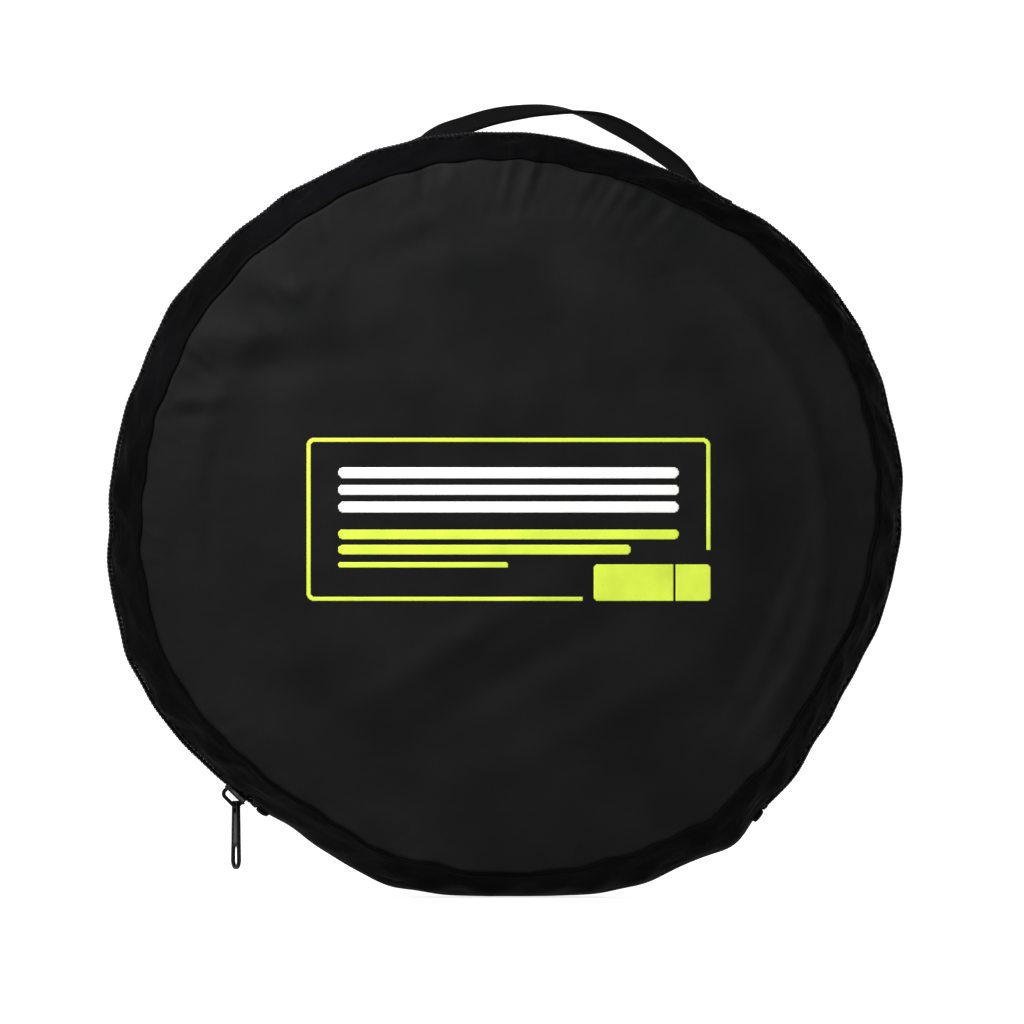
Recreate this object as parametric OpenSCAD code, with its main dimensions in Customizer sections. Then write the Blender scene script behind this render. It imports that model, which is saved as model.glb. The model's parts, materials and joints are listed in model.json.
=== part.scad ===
// Round zipped carry bag, packed with the coiled hoops and netting of a folding hanging drying net.
// Millimetres. +Z is up and -Y is the front. The bag stands on its bottom edge at z = 0.
// Angles round the rim are clockwise from the top, as seen from the front.

/* [Bag] */
// Radius of the bag at the zip, its widest line
bag_r = 160.5; // [150:0.5:175]
// Radius of the seams between the panels and the gusset
seam_r = 147; // [138:0.5:150]
// Depth from the front panel to the back panel
depth = 62; // [56:1:66]
// How far the bag's own weight flattens its bottom
stand_flat = 3; // [1:0.5:5]
// Thickness of the cloth
cloth = 1.2; // [0.6:0.1:2]
// Radius of the rolled seam
seam_roll_r = 1.45; // [1:0.05:2]

/* [Zip] */
// Angle from the bottom centre to each end of the zip, where the cover folds
fold_angle = 41; // [36:0.5:46]
// Half the width of a zip tape's bare part
tape_edge = 10; // [7:0.5:12]
// How far each tape is tucked under the cloth
tape_tuck = 4; // [2:0.5:6]
// Thickness of the zip tape
tape = 0.8; // [0.4:0.1:1]
// Radius of one side of the zip's coil
coil_r = 0.9; // [0.6:0.05:1]
// Gap between the two coils
coil_gap = 0.5; // [0.4:0.05:0.8]
// Angle at each end of the zip over which the front tape stays on the bag
end_angle = 25; // [22:1:30]
// Angle from the bottom centre to the slider when the zip is shut
slider_angle = 44.6; // [44:0.1:50]

/* [Slider and pull] */
// Length of the slider along the zip
slider_l = 11; // [9:0.5:12]
// Width of the slider across the zip
slider_w = 9.6; // [8:0.2:10]
// Height of the bridge above the slider's plate
bridge_h = 3.8; // [3.4:0.1:4.2]
// Length of the pull below its pivot
pull_l = 27.8; // [20:0.2:30]
// Width of the pull at its free end
pull_w = 7.8; // [6:0.2:9]
// Thickness of the pull
pull_t = 1.3; // [1:0.1:1.6]
// How far the pull hangs turned about its own length
pull_turn = 15; // [0:1:25]

/* [Handle] */
// Angle of the middle of the handle, right of the top
handle_angle = 8.5; // [0:0.25:15]
// Angle from the middle of the handle to each sewn end
handle_half = 21.5; // [20:0.25:26]
// Distance of the handle's centreline behind the zip
handle_y = 17; // [15:0.5:19]
// Height of the handle above the line between its sewn ends
handle_h = 30; // [24:0.5:34]
// Width of the webbing
strap_w = 18; // [16:0.5:20]
// Thickness of the webbing
strap_t = 1.8; // [1.2:0.1:2.2]

/* [Print] */
// Width of the printed frame
print_w = 166; // [140:1:180]
// Height of the printed frame
print_h = 67; // [50:1:80]
// Width of the frame's line
print_line = 1.7; // [1:0.1:3]
// Thickness of the ink
ink = 0.2; // [0.15:0.05:0.3]

/* [Contents] */
// Radius of the loops that a folded hoop makes
hoop_r = 131; // [124:0.5:131]
// Diameter of a hoop's wire in its sleeve
hoop_d = 3.4; // [2.4:0.1:3.5]
// Depth that each folded hoop and its net take up
hoop_pitch = 7.9; // [7.8:0.1:8.2]
// Distance of the contents' centre below the bag's centre
contents_drop = 5; // [0:0.5:6]

/* [Hidden] */
$fn = 128;

centre_z = bag_r - stand_flat;
fold_z = centre_z - bag_r * cos(fold_angle);
fold_gap = 0.3;
big = 2 * bag_r;
// The gusset's cross-section is an arc through the zip line and both seams
bulge = bag_r - seam_r;
gusset_arc_r = (depth * depth / 4 + bulge * bulge) / (2 * bulge);
gusset_arc_centre = bag_r - gusset_arc_r;
panel_edge = seam_r - seam_roll_r - 0.1;
gusset_edge = seam_r + 1.1;
coil_y = coil_gap / 2 + coil_r;
coil_centre_r = bag_r - cloth + coil_r + 0.05;
coil_top_r = coil_centre_r + coil_r;
left_end = 180 + fold_angle;
right_end = 180 - fold_angle;
// The zip runs from the lower left clockwise over the top to the lower right
zip_from = left_end;
zip_to = 360 + right_end;
stop_angle = 0.8;
stop_start = 0.9;

slider_clear = 0.3;
slider_plate_t = 0.9;
slider_plate_r = coil_top_r + slider_clear;
slider_top_r = slider_plate_r + slider_plate_t;
slider_under_r = bag_r - cloth - tape - slider_clear;
lip_t = 0.7;
web_t = 0.3;
bridge_l = 10;
bridge_t = 1.6;
bridge_w = 1.8;
pivot_back = 2.5;
pivot_up = 1.3;
eye_l = 3.9;
eye_w = 3.4;
pin_r = 0.6;
slot_l = 8.4;
slot_w = 3.6;
rim_w = 0.9;
recess = 0.25;

// The handle stands square to the gusset where it is sewn on
handle_tilt = asin(handle_y / gusset_arc_r);
handle_foot_r = gusset_arc_centre + gusset_arc_r * cos(handle_tilt);
handle_chord = handle_foot_r * sin(handle_half);
handle_arc_r = (handle_chord * handle_chord + handle_h * handle_h) / (2 * handle_h);
handle_arc_half = asin(handle_chord / handle_arc_r);
// The webbing's stiff ends stay with the bag, and the loop between them swings
strap_end_arc = 9.7;
swing_angle = handle_arc_half - strap_end_arc;
// Clearance on each side of the line that the loop swings about
swing_gap = 0.95;
swing_gap_angle = swing_gap / handle_arc_r * 180 / PI;
// The stub stops where it meets the gusset, inside the webbing that is sewn flat
stub_short = 1.2;
sewn_start = -1.5;
sewn_stop = 5;

block_w = 48;
block_h = 15;
divider_w = 0.9;
divider_from_right = 15.4;
corner_r = 3.3;
frame_right_h = 46;
frame_bottom_w = 113.5;
bar_w = 140;

hoops = 6;
net_r = hoop_r - 5.5;
net_t = 7;
loops = 3;
strand_offset = 2.1;
loop_steps = 32;
strand_sides = 6;

// Angle from the bottom centre to where the seam is this far above the fold
function seam_fold_angle(above) = acos((centre_z - fold_z - above) / seam_r);

// ---------- shared shapes ----------

// Puts a shape at the rim, with +Z pointing outwards and +X clockwise along the rim
module at_rim(angle) {
    translate([0, 0, centre_z]) rotate([0, angle, 0]) children();
}

// Sweeps a profile, drawn as (radius, depth), clockwise about the bag's axis
module rim_sweep(from, to) {
    translate([0, 0, centre_z])
        rotate([0, from - 90, 0])
            rotate([-90, 0, 0])
                rotate_extrude(angle = to - from) children();
}

// Sweeps a profile all the way round the bag's axis
module rim_turn() {
    translate([0, 0, centre_z]) rotate([-90, 0, 0]) rotate_extrude() children();
}

// The band of radius and depth that is left of a profile
module band(r_from, y_from, y_to) {
    intersection() {
        children();
        translate([r_from, y_from]) square([bag_r + 5 - r_from, y_to - y_from]);
    }
}

// A layer of the gusset's arc, between two distances inside its outer face
module arc_layer(outside, inside) {
    translate([gusset_arc_centre, 0]) difference() {
        circle(gusset_arc_r - outside);
        circle(gusset_arc_r - inside);
    }
}

// The whole bag as a solid, less a margin all over
module bag_solid(inset) {
    intersection() {
        rim_turn() intersection() {
            translate([gusset_arc_centre, 0]) circle(gusset_arc_r - inset);
            translate([seam_r - 10, -depth / 2]) square([big, depth]);
        }
        translate([-big, -big, inset]) cube([2 * big, 2 * big, 2 * big]);
    }
}

module above_fold() {
    intersection() {
        children();
        translate([-big, -big, fold_z + fold_gap]) cube([2 * big, 2 * big, 2 * big]);
    }
}

module below_fold() {
    intersection() {
        children();
        translate([-big, -big, fold_z - 2 * big]) cube([2 * big, 2 * big, 2 * big]);
    }
}

// A disc across the bag's axis, from one depth to another
module disc(r, y_from, y_to) {
    translate([0, y_from, centre_z]) rotate([-90, 0, 0]) cylinder(r = r, h = y_to - y_from);
}

// ---------- cloth shell ----------

module panel_disc(side) {
    disc(panel_edge, side < 0 ? -depth / 2 : depth / 2 - cloth, side < 0 ? cloth - depth / 2 : depth / 2);
}

// The rolled seam between a panel and the gusset, in cross-section
module seam_profile(side) {
    intersection() {
        translate([seam_r, side * (depth / 2 - 0.75)]) circle(seam_roll_r);
        translate([panel_edge, -depth]) square([gusset_edge - panel_edge, 2 * depth]);
    }
}

// The tape that binds the raw edges inside a seam
module binding_ring(side) {
    binding_w = 6;
    binding_t = 0.9;
    inner = depth / 2 - cloth - binding_t - 0.05;
    rim_turn() translate([panel_edge - binding_w, side < 0 ? -inner - binding_t : inner])
        square([binding_w, binding_t]);
}

module gusset_strip(side) {
    above_fold() rim_turn()
        band(gusset_edge, side < 0 ? -depth / 2 : tape_edge, side < 0 ? -tape_edge : depth / 2)
            arc_layer(0, cloth);
}

module back_panel() {
    color("#1b1c1d") panel_disc(1);
}

module back_seam() {
    color("#141416") rim_turn() seam_profile(1);
}

module back_binding() {
    color("#101012") binding_ring(1);
}

module back_gusset() {
    color("#131317") gusset_strip(1);
}

// The uncut cloth under the zip's ends, flattened where the bag stands on it
module hinge_gusset() {
    color("#131317") below_fold() difference() {
        bag_solid(0);
        bag_solid(cloth);
        disc(gusset_edge, -depth, depth);
    }
}

module front_panel_lower() {
    color("#1b1c1d") below_fold() panel_disc(-1);
}

module front_seam_lower() {
    color("#141416") rim_sweep(180 - seam_fold_angle(-seam_roll_r), 180 + seam_fold_angle(-seam_roll_r))
        seam_profile(-1);
}

module front_binding_lower() {
    color("#101012") below_fold() binding_ring(-1);
}

module front_panel() {
    color("#232524") above_fold() panel_disc(-1);
}

module front_seam() {
    color("#141416") rim_sweep(180 + seam_fold_angle(seam_roll_r), 540 - seam_fold_angle(seam_roll_r))
        seam_profile(-1);
}

module front_binding() {
    color("#101012") above_fold() binding_ring(-1);
}

module front_gusset() {
    color("#131317") gusset_strip(-1);
}

// ---------- zip ----------

module tape_arc(from, to, y_from, y_to) {
    rim_sweep(from, to) band(seam_r, y_from, y_to) arc_layer(cloth, cloth + tape);
}

module coil_arc(from, to, side) {
    rim_sweep(from, to) translate([coil_centre_r, side * coil_y]) circle(coil_r, $fn = 32);
}

module zip_tape_back() {
    color("#0f0f11") tape_arc(zip_from, zip_to, coil_r, tape_edge + tape_tuck);
}

module zip_coil_back() {
    color("#1c1c1e") coil_arc(zip_from + stop_start, zip_to - stop_start, 1);
}

module zip_tape_front() {
    color("#0f0f11") tape_arc(zip_from + end_angle, zip_to - end_angle, -tape_edge - tape_tuck, -coil_r);
}

module zip_coil_front() {
    color("#1c1c1e") coil_arc(zip_from + end_angle, zip_to - end_angle, -1);
}

// Near the zip's ends the front tape stays with the bag, short of the cover's cloth
module front_tape_end(from, to) {
    color("#0f0f11") tape_arc(from, to, -tape_edge + 0.3, -coil_r);
}

module front_tape_end_left() {
    front_tape_end(zip_from, zip_from + end_angle - 0.2);
}

module front_tape_end_right() {
    front_tape_end(zip_to - end_angle + 0.2, zip_to);
}

module front_coil_end_left() {
    color("#1c1c1e") coil_arc(zip_from + stop_start, zip_from + end_angle - 0.2, -1);
}

module front_coil_end_right() {
    color("#1c1c1e") coil_arc(zip_to - end_angle + 0.2, zip_to - stop_start, -1);
}

// A clamp over both coils that ends the slider's travel
module zip_stop(from) {
    stop_h = 1.5;
    color("#2a2a2c") rim_sweep(from, from + stop_angle)
        translate([coil_top_r - stop_h, -2 * coil_y]) square([stop_h + slider_clear, 4 * coil_y]);
}

module zip_stop_left() {
    zip_stop(zip_from - stop_angle + stop_start - 0.05);
}

module zip_stop_right() {
    zip_stop(zip_to - stop_start + 0.05);
}

// A folded cloth tab, sewn over the end of the zip
module end_tab(from) {
    tab_angle = 2.6;
    tab_w = 13;
    tab_t = 1.3;
    color("#0d0d0f") rim_sweep(from, from + tab_angle)
        band(seam_r, -tab_w / 2, tab_w / 2) arc_layer(-tab_t, 0);
}

module end_tab_left() {
    end_tab(zip_from - 3.1);
}

module end_tab_right() {
    end_tab(zip_to + 0.5);
}

// ---------- slider and pull ----------

module slider_plate() {
    lip_h = 1.3;
    color("#1a1a1b") at_rim(180 + slider_angle) {
        translate([-slider_l / 2, -slider_w / 2, slider_plate_r]) cube([slider_l, slider_w, slider_plate_t]);
        for (side = [-1, 1])
            translate([-slider_l / 2, side * (slider_w - lip_t) / 2 - lip_t / 2, slider_plate_r - lip_h])
                cube([slider_l, lip_t, lip_h]);
    }
}

// The plate under the tapes, held by the web that runs between the coils
module slider_underplate() {
    under_l = slider_l - 1;
    under_w = slider_w - 2;
    color("#1a1a1b") at_rim(180 + slider_angle) {
        translate([-under_l / 2, -under_w / 2, slider_under_r - slider_plate_t])
            cube([under_l, under_w, slider_plate_t]);
        translate([-under_l / 2, -web_t / 2, slider_under_r])
            cube([under_l, web_t, slider_plate_r - slider_under_r]);
    }
}

// The arch that the pull hangs from, drawn as (along the zip, height above the plate)
module slider_bridge() {
    corner = 1.4;
    color("#3a3a3c") at_rim(180 + slider_angle)
        translate([0, bridge_w / 2, slider_top_r]) rotate([90, 0, 0]) linear_extrude(bridge_w)
            difference() {
                arch(bridge_l / 2, bridge_h, corner);
                arch(bridge_l / 2 - bridge_t, bridge_h - bridge_t, corner - bridge_t / 2);
            }
}

// A flat-footed arch with round shoulders
module arch(half, height, corner) {
    translate([-half, 0]) square([2 * half, height - corner]);
    translate([corner - half, 0]) square([2 * (half - corner), height]);
    for (side = [-1, 1])
        translate([side * (half - corner), height - corner]) circle(corner, $fn = 48);
}

// The pull's pin passes under the bridge, and its tapered plate hangs straight down from it
module pull_tab() {
    pivot_r = slider_top_r + pivot_up;
    top_w = 5.6;
    color("#262628") at_rim(180 + slider_angle)
        translate([-pivot_back, 0, pivot_r]) rotate([0, -180 - slider_angle, 0])
            rotate([0, 0, pull_turn]) {
                difference() {
                    rotate([90, 0, 90]) translate([0, 0, -pull_t / 2]) linear_extrude(pull_t) difference() {
                        pull_outline(top_w, pull_w, pull_l);
                        translate([-eye_w / 2, -pin_r - eye_l]) square([eye_w, eye_l + 3 * pin_r]);
                        slot(pull_l - rim_w - 0.6, slot_l, slot_w);
                    }
                    for (side = [-1, 1])
                        translate([side * (pull_t - recess / 2) / 2, 0, -pull_l / 2 + 0.6])
                            cube([recess, top_w - 2 * rim_w, pull_l / 3], center = true);
                }
                rotate([90, 0, 0]) cylinder(h = eye_w + 0.6, r = pin_r, center = true, $fn = 48);
            }
}

// The pull's outline, from its pin at the top, where the corners are cut off, to its round end
module pull_outline(top_w, end_w, length) {
    end_r = end_w / 2;
    cut = 1.2;
    head = [
        [-top_w / 2, pin_r - cut], [cut - top_w / 2, pin_r],
        [top_w / 2 - cut, pin_r], [top_w / 2, pin_r - cut]
    ];
    round_end = [for (a = [0 : 7.5 : 180]) [end_r * cos(a), end_r * (1 - sin(a)) - length]];
    polygon(concat(head, round_end));
}

// A slot with round ends, whose lower end is this far below the pivot
module slot(bottom, length, width) {
    for (y = [width / 2 - bottom, length - width / 2 - bottom])
        translate([0, y]) circle(width / 2, $fn = 48);
    translate([-width / 2, width / 2 - bottom]) square([width, length - width]);
}

// ---------- handle ----------

// The handle's own frame: origin mid-way between its sewn ends, +Z out of the gusset
module handle_frame() {
    at_rim(handle_angle)
        translate([0, handle_y, handle_foot_r * cos(handle_half)])
            rotate([-handle_tilt, 0, 0]) children();
}

// A stretch of the webbing's arch, by angle from its top
module strap_arc(from, to) {
    handle_frame()
        translate([0, 0, handle_h - handle_arc_r])
            rotate([0, from - 90, 0]) rotate([-90, 0, 0]) rotate_extrude(angle = to - from)
                translate([handle_arc_r - strap_t / 2, -strap_w / 2]) square([strap_t, strap_w]);
}

module handle_strap() {
    color("#2c2d2f") strap_arc(swing_gap_angle - swing_angle, swing_angle - swing_gap_angle);
}

// The webbing's end: a stub of the arch, and the length that is sewn flat on the gusset
module strap_end(side) {
    near = swing_angle + swing_gap_angle;
    far = handle_arc_half - stub_short;
    sewn_near = handle_angle + side * (handle_half + sewn_start);
    sewn_far = handle_angle + side * (handle_half + sewn_stop);
    color("#2c2d2f") {
        strap_arc(min(side * near, side * far), max(side * near, side * far));
        rim_sweep(min(sewn_near, sewn_far), max(sewn_near, sewn_far))
            band(seam_r, handle_y - strap_w / 2, handle_y + strap_w / 2) arc_layer(-strap_t, -0.02);
    }
}

module strap_end_left() {
    strap_end(-1);
}

module strap_end_right() {
    strap_end(1);
}

// ---------- print ----------

// Lays a flat drawing on the front panel, with its centre at the panel's centre
module on_panel() {
    translate([0, -depth / 2, centre_z]) rotate([90, 0, 0]) linear_extrude(ink) children();
}

module rounded_bar(width, height) {
    translate([height / 2, 0]) square([width - height, height]);
    for (x = [height / 2, width - height / 2])
        translate([x, height / 2]) circle(height / 2, $fn = 48);
}

module rounded_box(width, height, radius) {
    translate([radius, 0]) square([width - 2 * radius, height]);
    translate([0, radius]) square([width, height - 2 * radius]);
    for (x = [radius, width - radius])
        for (y = [radius, height - radius])
            translate([x, y]) circle(radius, $fn = 48);
}

// An open frame: its lower right corner is left out for the block
module print_frame() {
    color("#c9df3c") on_panel() translate([-print_w / 2, -print_h / 2]) difference() {
        rounded_box(print_w, print_h, corner_r);
        translate([print_line, print_line])
            rounded_box(print_w - 2 * print_line, print_h - 2 * print_line, corner_r - print_line);
        translate([frame_bottom_w, -1]) square([print_w, print_h - frame_right_h + 1]);
    }
}

// Plain bars of one height, one below the other, the topmost starting at this height
module bar_rows(top, height, gap, widths) {
    for (i = [0 : len(widths) - 1])
        translate([-bar_w / 2, top - height - i * (height + gap)]) rounded_bar(widths[i], height);
}

module print_white_bars() {
    color("#ebebeb") on_panel() bar_rows(21.4, 4.4, 2.7, [bar_w, bar_w, bar_w]);
}

module print_lime_bars() {
    color("#c9df3c") on_panel() {
        bar_rows(-4.2, 3.9, 2.4, [bar_w, bar_w * 0.86]);
        bar_rows(-17.6, 2.2, 0, [bar_w / 2]);
    }
}

module print_block() {
    color("#c9df3c") on_panel()
        translate([print_w / 2 - block_w, -print_h / 2]) difference() {
            rounded_box(block_w, block_h, corner_r / 2);
            translate([block_w - divider_from_right, -1]) square([divider_w, block_h + 2]);
        }
}

// ---------- contents ----------

function hoop_y(i) = (i - (hoops - 1) / 2) * hoop_pitch;

// A hoop folded into three loops: each turn moves a third of the way round the bundle
function strand_point(turn) =
    let (bundle = turn / loops, r = hoop_r + strand_offset * cos(bundle))
    [r * sin(turn), strand_offset * sin(bundle), r * cos(turn)];

function strand_ring(turn) =
    [for (k = [0 : strand_sides - 1])
        let (a = 360 * k / strand_sides, p = strand_point(turn), out = hoop_d / 2 * cos(a))
        p + [out * sin(turn), hoop_d / 2 * sin(a), out * cos(turn)]];

module hoop(i) {
    rings = loops * loop_steps;
    points = [for (s = [0 : rings - 1]) each strand_ring(360 * s / loop_steps)];
    faces = [for (s = [0 : rings - 1], k = [0 : strand_sides - 1])
        let (next = (s + 1) % rings, side = (k + 1) % strand_sides)
        [s * strand_sides + k, next * strand_sides + k, next * strand_sides + side, s * strand_sides + side]];
    color("#9a9c9e") translate([0, hoop_y(i), centre_z - contents_drop]) polyhedron(points, faces);
}

// The netting gathered inside one folded hoop
module net(i) {
    edge = 1.5;
    color("#3b4a52") translate([0, hoop_y(i), centre_z - contents_drop]) rotate([-90, 0, 0]) rotate_extrude()
        polygon([
            [0, -net_t / 2], [net_r - edge, -net_t / 2], [net_r, edge - net_t / 2],
            [net_r, net_t / 2 - edge], [net_r - edge, net_t / 2], [0, net_t / 2]
        ]);
}

back_panel();
back_seam();
back_binding();
back_gusset();
hinge_gusset();
front_panel_lower();
front_seam_lower();
front_binding_lower();
zip_tape_back();
zip_coil_back();
front_tape_end_left();
front_tape_end_right();
front_coil_end_left();
front_coil_end_right();
zip_stop_left();
zip_stop_right();
end_tab_left();
end_tab_right();
strap_end_left();
strap_end_right();
hoop(0);  // hoop_1
hoop(1);  // hoop_2
hoop(2);  // hoop_3
hoop(3);  // hoop_4
hoop(4);  // hoop_5
hoop(5);  // hoop_6
net(0);  // net_1
net(1);  // net_2
net(2);  // net_3
net(3);  // net_4
net(4);  // net_5
net(5);  // net_6
front_panel();
front_seam();
front_binding();
front_gusset();
zip_tape_front();
zip_coil_front();
print_frame();
print_white_bars();
print_lime_bars();
print_block();
slider_plate();
slider_bridge();
slider_underplate();
pull_tab();
handle_strap();
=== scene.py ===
"""Looks of a round zipped carry bag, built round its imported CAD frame. Metres, +Z up, -Y is the front.

Angles round the rim are in degrees, clockwise from the top as seen from the front, as in the CAD model.
"""

import json
import math

import bpy
import numpy as np
from mathutils import Matrix, Vector, noise


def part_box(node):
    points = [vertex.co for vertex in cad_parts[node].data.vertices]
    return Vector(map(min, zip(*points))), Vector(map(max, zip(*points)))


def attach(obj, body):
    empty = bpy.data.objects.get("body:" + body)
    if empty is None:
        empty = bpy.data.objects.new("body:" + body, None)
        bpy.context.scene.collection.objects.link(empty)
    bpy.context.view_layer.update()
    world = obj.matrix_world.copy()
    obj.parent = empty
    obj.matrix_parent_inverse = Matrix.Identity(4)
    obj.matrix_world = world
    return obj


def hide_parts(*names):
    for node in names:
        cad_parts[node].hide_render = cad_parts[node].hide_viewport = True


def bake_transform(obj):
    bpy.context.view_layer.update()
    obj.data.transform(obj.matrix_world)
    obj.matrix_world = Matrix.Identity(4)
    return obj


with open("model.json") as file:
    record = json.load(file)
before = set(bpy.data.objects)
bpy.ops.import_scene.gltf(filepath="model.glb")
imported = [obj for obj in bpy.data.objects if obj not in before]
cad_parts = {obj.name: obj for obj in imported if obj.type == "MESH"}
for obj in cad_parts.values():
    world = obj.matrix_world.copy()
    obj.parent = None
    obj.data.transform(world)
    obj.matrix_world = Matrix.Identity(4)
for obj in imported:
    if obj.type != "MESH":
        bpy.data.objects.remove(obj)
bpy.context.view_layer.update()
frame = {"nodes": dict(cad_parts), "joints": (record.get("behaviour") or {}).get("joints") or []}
MM = 0.001

# ---------- sizes from the frame ----------

JOINTS = {joint["name"]: joint for joint in frame["joints"]}
CENTRE = Vector(JOINTS["zip_travel"]["pos_m"])
FOLD = Vector(JOINTS["cover_open"]["pos_m"])
PULL_PIVOT = Vector(JOINTS["pull_swing"]["pos_m"])
HANDLE_PIVOT = Vector(JOINTS["handle_swing"]["pos_m"])
HANDLE_AXIS = Vector(JOINTS["handle_swing"]["axis"])
HALF_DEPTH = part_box("back_panel")[1].y
COIL_TOP_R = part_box("zip_coil_back")[1].x
RIM_R = COIL_TOP_R - 0.65 * MM
SEAM_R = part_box("back_seam")[1].x - 1.1 * MM
ZIP_END = math.degrees(math.acos((CENTRE.z - FOLD.z) / RIM_R))
ZIP_FROM = 180 + ZIP_END
ZIP_TO = 540 - ZIP_END
SLIDER_ANGLE = 224.6
TRAVEL = JOINTS["zip_travel"]["range_deg"][1]
SLIDER_STOP = SLIDER_ANGLE + TRAVEL - 360
CONTENTS = (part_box("hoop_1")[0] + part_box("hoop_6")[1]) / 2
HOOP_R = (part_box("hoop_1")[1].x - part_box("hoop_1")[0].x) / 2 - 3.8 * MM
FLOOR_CLEAR = 0.15 * MM

# How far the rim stands out from its circle, softly dented and filled: (angle, millimetres)
RIM_SHAPE = [
    (0, -0.8), (20, -2.7), (33, -0.8), (47, 3.6), (62, 4.8), (90, 2.6), (105, -0.9),
    (118, -4.2), (127, -3.4), (131.5, -0.4), (139.5, -0.4), (145, 5), (152, 1.6),
    (180, 0), (200, 0), (214, -3.4), (225, -0.3), (236, 4), (250, 8), (270, 5.3),
    (292, 4), (302, 4.8), (325, 1.9), (348, 0.8),
]


def rim_offset(angle):
    """Metres by which the rim stands out at each angle, with soft shoulders and small scallops."""
    angles, offsets = np.array(RIM_SHAPE, float).T
    fine = np.arange(0, 360, 0.5)
    line = np.interp(fine, angles, offsets, period=360)
    window = np.hanning(19)
    line = np.convolve(np.tile(line, 3), window / window.sum(), "same")[len(fine):2 * len(fine)]
    scallops = 0.45 * np.sin(np.radians(fine * 23)) * np.sin(np.radians(fine * 5 + 40))
    scallops += 0.3 * np.sin(np.radians(fine * 41 + 70)) * np.sin(np.radians(fine * 7))
    near_slider = sum(np.exp(-(((fine - stop) / 7) ** 2)) for stop in (SLIDER_ANGLE, SLIDER_STOP))
    line = line + scallops * (1 - near_slider)
    return np.interp(np.asarray(angle, float) % 360, fine, line, period=360) * MM


def around(angle, radius, depth):
    """Points at these angles, radii and depths about the bag's axis, as an (..., 3) array."""
    turn = np.radians(angle)
    points = np.stack(np.broadcast_arrays(radius * np.sin(turn), depth, radius * np.cos(turn)), axis=-1)
    return points + np.array([0, 0, CENTRE.z])


def on_floor(points):
    """Flattens what would pass through the floor, with a soft roll at the edge of the flat."""
    height = points[..., 2]
    soft = 1.5 * MM
    points[..., 2] = FLOOR_CLEAR + soft * np.logaddexp(0, (height - FLOOR_CLEAR) / soft)
    return points


def noise_at(points, size, seed=0):
    """Smooth noise from -1 to 1 at each point, with features of about this size."""
    flat = points.reshape(-1, 3) / size + seed * 17.3
    return np.array([noise.noise(Vector(p)) for p in flat]).reshape(points.shape[:-1])


def seam_radius(angle):
    """Radius of both seams, which are drawn out towards the rim on the right."""
    drawn_out = np.exp(-(((np.asarray(angle, float) % 360 - 78) / 34) ** 2))
    turn = np.radians(angle)
    wander = np.sin(19 * turn + 1) * np.sin(3 * turn) + 0.7 * np.sin(47 * turn + 2 * np.sin(5 * turn))
    return SEAM_R + 0.8 * MM + 0.72 * rim_offset(angle) + 3 * MM * drawn_out + 0.45 * MM * wander


def seam_depth(angle):
    """How far the front seam wanders in and out where the gusset is gathered into it."""
    turn = np.radians(angle)
    wander = np.sin(31 * turn) * np.sin(3 * turn + 0.6) + 0.6 * np.sin(53 * turn + 1) * np.sin(5 * turn)
    return 0.6 * MM * wander


def gusset_points(angle, across):
    """Points on the gusset, whose across runs from -1 at the front seam to 1 at the back seam."""
    seam = seam_radius(angle)
    bulge = RIM_R + rim_offset(angle) - seam
    arc_r = (HALF_DEPTH**2 + bulge**2) / (2 * bulge)
    swing = across * np.arcsin(HALF_DEPTH / arc_r)
    radius = seam + bulge - arc_r * (1 - np.cos(swing))
    depth = arc_r * np.sin(swing)
    turn = np.radians(angle)
    # Diagonal folds run across the band, and short gathers start at each seam
    away = 1 - np.abs(across)
    slack = np.clip(away * 3.5, 0, 1) * np.clip((np.abs(across) - 0.2) * 4, 0, 1)
    folds = np.sin(27 * turn + 5 * across) * np.sin(4 * turn + 1)
    folds += 0.7 * np.sin(44 * turn - 7 * across + 2)
    gathers = gather_wave(angle) * np.exp(-away / 0.3)
    radius = radius + slack * 0.9 * MM * folds + 0.8 * MM * gathers
    return on_floor(around(angle, radius, depth))


def gather_wave(angle):
    """Uneven puckers along a seam, tightest where the seam crosses the top."""
    turn = np.radians(angle)
    centred = (np.asarray(angle, float) - 12 + 180) % 360 - 180
    amount = 0.3 + 1.2 * np.exp(-((centred / 32) ** 2)) + 0.3 * np.exp(-(((centred + 75) / 30) ** 2))
    bunched = 0.55 + 0.45 * np.sin(17 * turn + 1.7 * np.sin(5 * turn))
    coarse = np.sin(59 * turn + 3.1 * np.sin(11 * turn) + 1.3 * np.sin(23 * turn))
    fine = np.sin(127 * turn + 4 * np.sin(7 * turn) + 2 * np.sin(19 * turn))
    return amount * bunched * (coarse + 0.55 * fine)


# ---------- the front panel's relief ----------

# Soft folds pressed into the front, in millimetres:
# (x, z from the centre, half length, half width, slope in degrees, height)
FRONT_FOLDS = [
    (-98, 84, 17, 8, -38, -3.0),
    (-88, 92, 12, 6, -36, 2.2),
    (-104, 75, 40, 8, 8, 2.4),
    (-104, 61, 42, 8, 6, -2.2),
    (-132, 42, 12, 4, 4, -1.6),
    (-128, 47, 14, 4, 4, 1.4),
    (-20, -52, 46, 7, 32, 2.1),
    (6, -62, 52, 8, 30, -2.1),
    (44, -80, 40, 8, 26, 1.7),
    (-70, -84, 34, 10, -24, -1.6),
    (-88, -60, 26, 9, 12, 1.2),
    (70, 96, 34, 9, -38, -1.6),
    (40, 120, 24, 6, -20, 1.5),
    (6, 126, 22, 5, 4, -1.2),
    (-36, 116, 30, 7, 16, -1.6),
    (-20, 104, 34, 8, 10, 1.2),
    (104, 10, 10, 34, 8, -1.0),
    (-60, 30, 50, 16, 20, 0.9),
    (30, 64, 60, 18, -12, -0.9),
    (-10, -106, 46, 10, 8, 0.9),
]
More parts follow.
